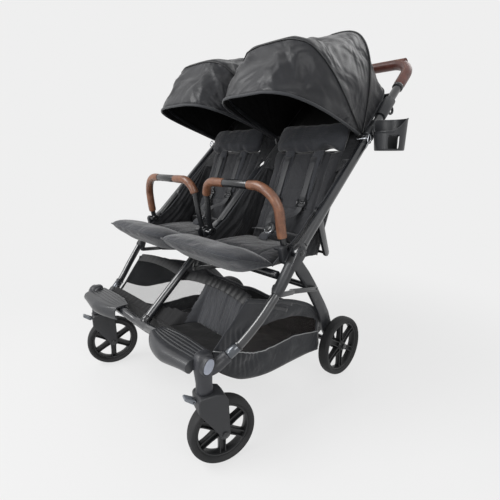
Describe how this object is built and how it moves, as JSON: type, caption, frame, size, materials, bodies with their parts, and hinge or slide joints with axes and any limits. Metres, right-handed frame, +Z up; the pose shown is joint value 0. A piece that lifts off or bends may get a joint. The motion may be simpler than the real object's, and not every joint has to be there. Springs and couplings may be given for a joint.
{
  "type": "side-by-side double stroller",
  "caption": "Folding side-by-side double stroller with canopies, reclining padded seats, harnesses, bumper bars, swivelling front casters, cup holder and storage basket.",
  "frame": {"origin": "on the floor, at the middle of the bounding box in X and Y", "axes": "+Z up, -Y to the stroller's front, +X to the left side of whoever sits in it, where the cup holder is"},
  "size_m": [0.8378, 0.906, 1.1168],
  "materials": {
    "black_metal": "satin black",
    "black_plastic": "satin black moulding",
    "grey_plastic": "satin grey",
    "tyre": "matt, fine tread",
    "seat_fabric": "woven black",
    "canopy_fabric": "tight woven charcoal, slight sheen",
    "basket_fabric": "woven black and mesh",
    "webbing": "black webbing and padding",
    "brown_leather": "stitched brown",
    "dark_leather": "stitched dark brown"
  },
  "bodies": {
    "front_frame": {"front_crossbar": "black_metal", "footrest_left": "black_plastic", "footrest_right": "black_plastic", "caster_head_left": "black_plastic", "caster_head_right": "black_plastic", "lower_tube_left": "black_metal", "lower_tube_right": "black_metal", "pivot_housing_left": "black_plastic", "pivot_housing_right": "black_plastic", "seat_pan_left": "seat_fabric", "seat_pan_right": "seat_fabric", "harness_left": "webbing", "harness_right": "webbing", "centre_frame": "black_metal", "basket": "basket_fabric"},
    "upper_frame": {"handle_frame": "black_metal", "back_frame": "black_metal", "handle_grip": "dark_leather", "cup_holder": "black_plastic", "canopy_left": "canopy_fabric", "canopy_right": "canopy_fabric"},
    "rear_frame": {"rear_leg_left": "black_plastic", "rear_leg_right": "black_plastic", "rear_axle": "black_metal", "rear_cross_tube": "black_metal"},
    "brake": {"brake_pedal": "black_plastic"},
    "caster_left": {"fork_left": "black_plastic"},
    "lock_left": {"swivel_lock_left": "grey_plastic"},
    "front_wheel_left": {"front_tyre_left": "tyre", "front_rim_left": "black_plastic"},
    "rear_wheel_left": {"rear_tyre_left": "tyre", "rear_rim_left": "black_plastic"},
    "trigger_left": {"fold_trigger_left": "black_plastic"},
    "canopy_bow_left": {"front_bow_left": "black_plastic"},
    "seat_back_left": {"backrest_left": "seat_fabric"},
    "calf_rest_left": {"leg_rest_left": "seat_fabric"},
    "button_left": {"buckle_button_left": "grey_plastic"},
    "bumper_left": {"bumper_bar_left": "black_plastic", "bumper_grip_outer_left": "brown_leather", "bumper_grip_inner_left": "brown_leather"},
    "caster_right": {"fork_right": "black_plastic"},
    "lock_right": {"swivel_lock_right": "grey_plastic"},
    "front_wheel_right": {"front_tyre_right": "tyre", "front_rim_right": "black_plastic"},
    "rear_wheel_right": {"rear_tyre_right": "tyre", "rear_rim_right": "black_plastic"},
    "trigger_right": {"fold_trigger_right": "black_plastic"},
    "canopy_bow_right": {"front_bow_right": "black_plastic"},
    "seat_back_right": {"backrest_right": "seat_fabric"},
    "calf_rest_right": {"leg_rest_right": "seat_fabric"},
    "button_right": {"buckle_button_right": "grey_plastic"},
    "bumper_right": {"bumper_bar_right": "black_plastic", "bumper_grip_outer_right": "brown_leather", "bumper_grip_inner_right": "brown_leather"},
    "front_brace_left": {"brace_front_left": "black_metal"},
    "rear_brace_left": {"brace_rear_left": "black_metal"},
    "front_brace_right": {"brace_front_right": "black_metal"},
    "rear_brace_right": {"brace_rear_right": "black_metal"},
    "front_brace_centre": {"brace_front_centre": "black_metal"},
    "rear_brace_centre": {"brace_rear_centre": "black_metal"}
  },
  "joints": [
    {"name": "frame_fold", "type": "hinge", "parent": "front_frame", "child": "upper_frame", "pos_m": [-0.04656, -0.13375, 0.479], "axis": [1, 0, 0], "range_deg": [0, 120], "deforming": ["harness_left", "harness_right", "basket"]},
    {"name": "rear_frame_fold", "type": "hinge", "parent": "front_frame", "child": "rear_frame", "pos_m": [-0.04656, -0.13375, 0.479], "axis": [-1, 0, 0], "range_deg": [0, 40], "deforming": ["basket"]},
    {"name": "brake_press", "type": "hinge", "parent": "rear_frame", "child": "brake", "pos_m": [-0.04656, 0.16125, 0.096], "axis": [-1, 0, 0], "range_deg": [0, 25]},
    {"name": "caster_swivel_left", "type": "hinge", "parent": "front_frame", "child": "caster_left", "pos_m": [0.25944, -0.39675, 0.19], "axis": [0, 0, 1], "continuous": true},
    {"name": "swivel_lock_turn_left", "type": "hinge", "parent": "caster_left", "child": "lock_left", "pos_m": [0.25117, -0.42298, 0.174], "axis": [0.9537, -0.3007, 0], "range_deg": [0, 40]},
    {"name": "front_wheel_spin_left", "type": "hinge", "parent": "caster_left", "child": "front_wheel_left", "pos_m": [0.27147, -0.3586, 0.0825], "axis": [0.9537, -0.3007, 0], "continuous": true},
    {"name": "rear_wheel_spin_left", "type": "hinge", "parent": "rear_frame", "child": "rear_wheel_left", "pos_m": [0.24844, 0.16125, 0.096], "axis": [1, 0, 0], "continuous": true},
    {"name": "trigger_slide_left", "type": "slide", "parent": "upper_frame", "child": "trigger_left", "axis": [0, 0.723, 0.6909], "range_m": [0, 0.012], "stiffness_N_per_m": 400},
    {"name": "canopy_fold_left", "type": "hinge", "parent": "upper_frame", "child": "canopy_bow_left", "pos_m": [0.12694, 0.16325, 0.7765], "axis": [-1, 0, 0], "range_deg": [0, 80], "deforming": ["canopy_left"]},
    {"name": "recline_left", "type": "hinge", "parent": "upper_frame", "child": "seat_back_left", "pos_m": [0.12694, 0.00806, 0.44875], "axis": [-1, 0, 0], "range_deg": [0, 40], "deforming": ["harness_left"]},
    {"name": "leg_rest_tilt_left", "type": "hinge", "parent": "front_frame", "child": "calf_rest_left", "pos_m": [0.12694, -0.20315, 0.45343], "axis": [1, 0, 0], "range_deg": [0, 50]},
    {"name": "button_press_left", "type": "slide", "parent": "front_frame", "child": "button_left", "axis": [0, 0.788, -0.6157], "range_m": [0, 0.0025], "stiffness_N_per_m": 300},
    {"name": "bumper_fold_left", "type": "hinge", "parent": "front_frame", "child": "bumper_left", "pos_m": [0.12694, -0.17075, 0.488], "axis": [1, 0, 0], "range_deg": [0, 60]},
    {"name": "caster_swivel_right", "type": "hinge", "parent": "front_frame", "child": "caster_right", "pos_m": [-0.35256, -0.39675, 0.19], "axis": [0, 0, 1], "continuous": true},
    {"name": "swivel_lock_turn_right", "type": "hinge", "parent": "caster_right", "child": "lock_right", "pos_m": [-0.36083, -0.42298, 0.174], "axis": [0.9537, -0.3007, 0], "range_deg": [0, 40]},
    {"name": "front_wheel_spin_right", "type": "hinge", "parent": "caster_right", "child": "front_wheel_right", "pos_m": [-0.34053, -0.3586, 0.0825], "axis": [0.9537, -0.3007, 0], "continuous": true},
    {"name": "rear_wheel_spin_right", "type": "hinge", "parent": "rear_frame", "child": "rear_wheel_right", "pos_m": [-0.34156, 0.16125, 0.096], "axis": [1, 0, 0], "continuous": true},
    {"name": "trigger_slide_right", "type": "slide", "parent": "upper_frame", "child": "trigger_right", "axis": [0, 0.723, 0.6909], "range_m": [0, 0.012], "stiffness_N_per_m": 400},
    {"name": "canopy_fold_right", "type": "hinge", "parent": "upper_frame", "child": "canopy_bow_right", "pos_m": [-0.22006, 0.16325, 0.7765], "axis": [-1, 0, 0], "range_deg": [0, 80], "deforming": ["canopy_right"]},
    {"name": "recline_right", "type": "hinge", "parent": "upper_frame", "child": "seat_back_right", "pos_m": [-0.22006, 0.00806, 0.44875], "axis": [-1, 0, 0], "range_deg": [0, 40], "deforming": ["harness_right"]},
    {"name": "leg_rest_tilt_right", "type": "hinge", "parent": "front_frame", "child": "calf_rest_right", "pos_m": [-0.22006, -0.20315, 0.45343], "axis": [1, 0, 0], "range_deg": [0, 50]},
    {"name": "button_press_right", "type": "slide", "parent": "front_frame", "child": "button_right", "axis": [0, 0.788, -0.6157], "range_m": [0, 0.0025], "stiffness_N_per_m": 300},
    {"name": "bumper_fold_right", "type": "hinge", "parent": "front_frame", "child": "bumper_right", "pos_m": [-0.22006, -0.17075, 0.488], "axis": [1, 0, 0], "range_deg": [0, 60]},
    {"name": "front_brace_turn_left", "type": "hinge", "parent": "front_frame", "child": "front_brace_left", "pos_m": [0.28344, -0.20675, 0.374], "axis": [1, 0, 0], "range_deg": [0, 37.2]},
    {"name": "rear_brace_turn_left", "type": "hinge", "parent": "rear_frame", "child": "rear_brace_left", "pos_m": [0.28344, -0.02075, 0.347], "axis": [-1, 0, 0], "range_deg": [0, 36.1]},
    {"name": "front_brace_turn_right", "type": "hinge", "parent": "front_frame", "child": "front_brace_right", "pos_m": [-0.37656, -0.20675, 0.374], "axis": [1, 0, 0], "range_deg": [0, 37.2]},
    {"name": "rear_brace_turn_right", "type": "hinge", "parent": "rear_frame", "child": "rear_brace_right", "pos_m": [-0.37656, -0.02075, 0.347], "axis": [-1, 0, 0], "range_deg": [0, 36.1]},
    {"name": "front_brace_turn_centre", "type": "hinge", "parent": "front_frame", "child": "front_brace_centre", "pos_m": [-0.04656, -0.20675, 0.374], "axis": [1, 0, 0], "range_deg": [0, 37.2]},
    {"name": "rear_brace_turn_centre", "type": "hinge", "parent": "rear_frame", "child": "rear_brace_centre", "pos_m": [-0.04656, -0.02075, 0.347], "axis": [-1, 0, 0], "range_deg": [0, 36.1]}
  ],
  "couplings": [
    {"joint": "rear_frame_fold", "follows": "frame_fold", "ratio": 0.33333},
    {"joint": "bumper_fold_left", "follows": "frame_fold", "ratio": 0.5},
    {"joint": "bumper_fold_right", "follows": "frame_fold", "ratio": 0.5},
    {"joint": "front_brace_turn_left", "follows": "frame_fold", "ratio": 0.3089},
    {"joint": "rear_brace_turn_left", "follows": "frame_fold", "ratio": 0.3002},
    {"joint": "front_brace_turn_right", "follows": "frame_fold", "ratio": 0.3089},
    {"joint": "rear_brace_turn_right", "follows": "frame_fold", "ratio": 0.3002},
    {"joint": "front_brace_turn_centre", "follows": "frame_fold", "ratio": 0.3089},
    {"joint": "rear_brace_turn_centre", "follows": "frame_fold", "ratio": 0.3002}
  ]
}
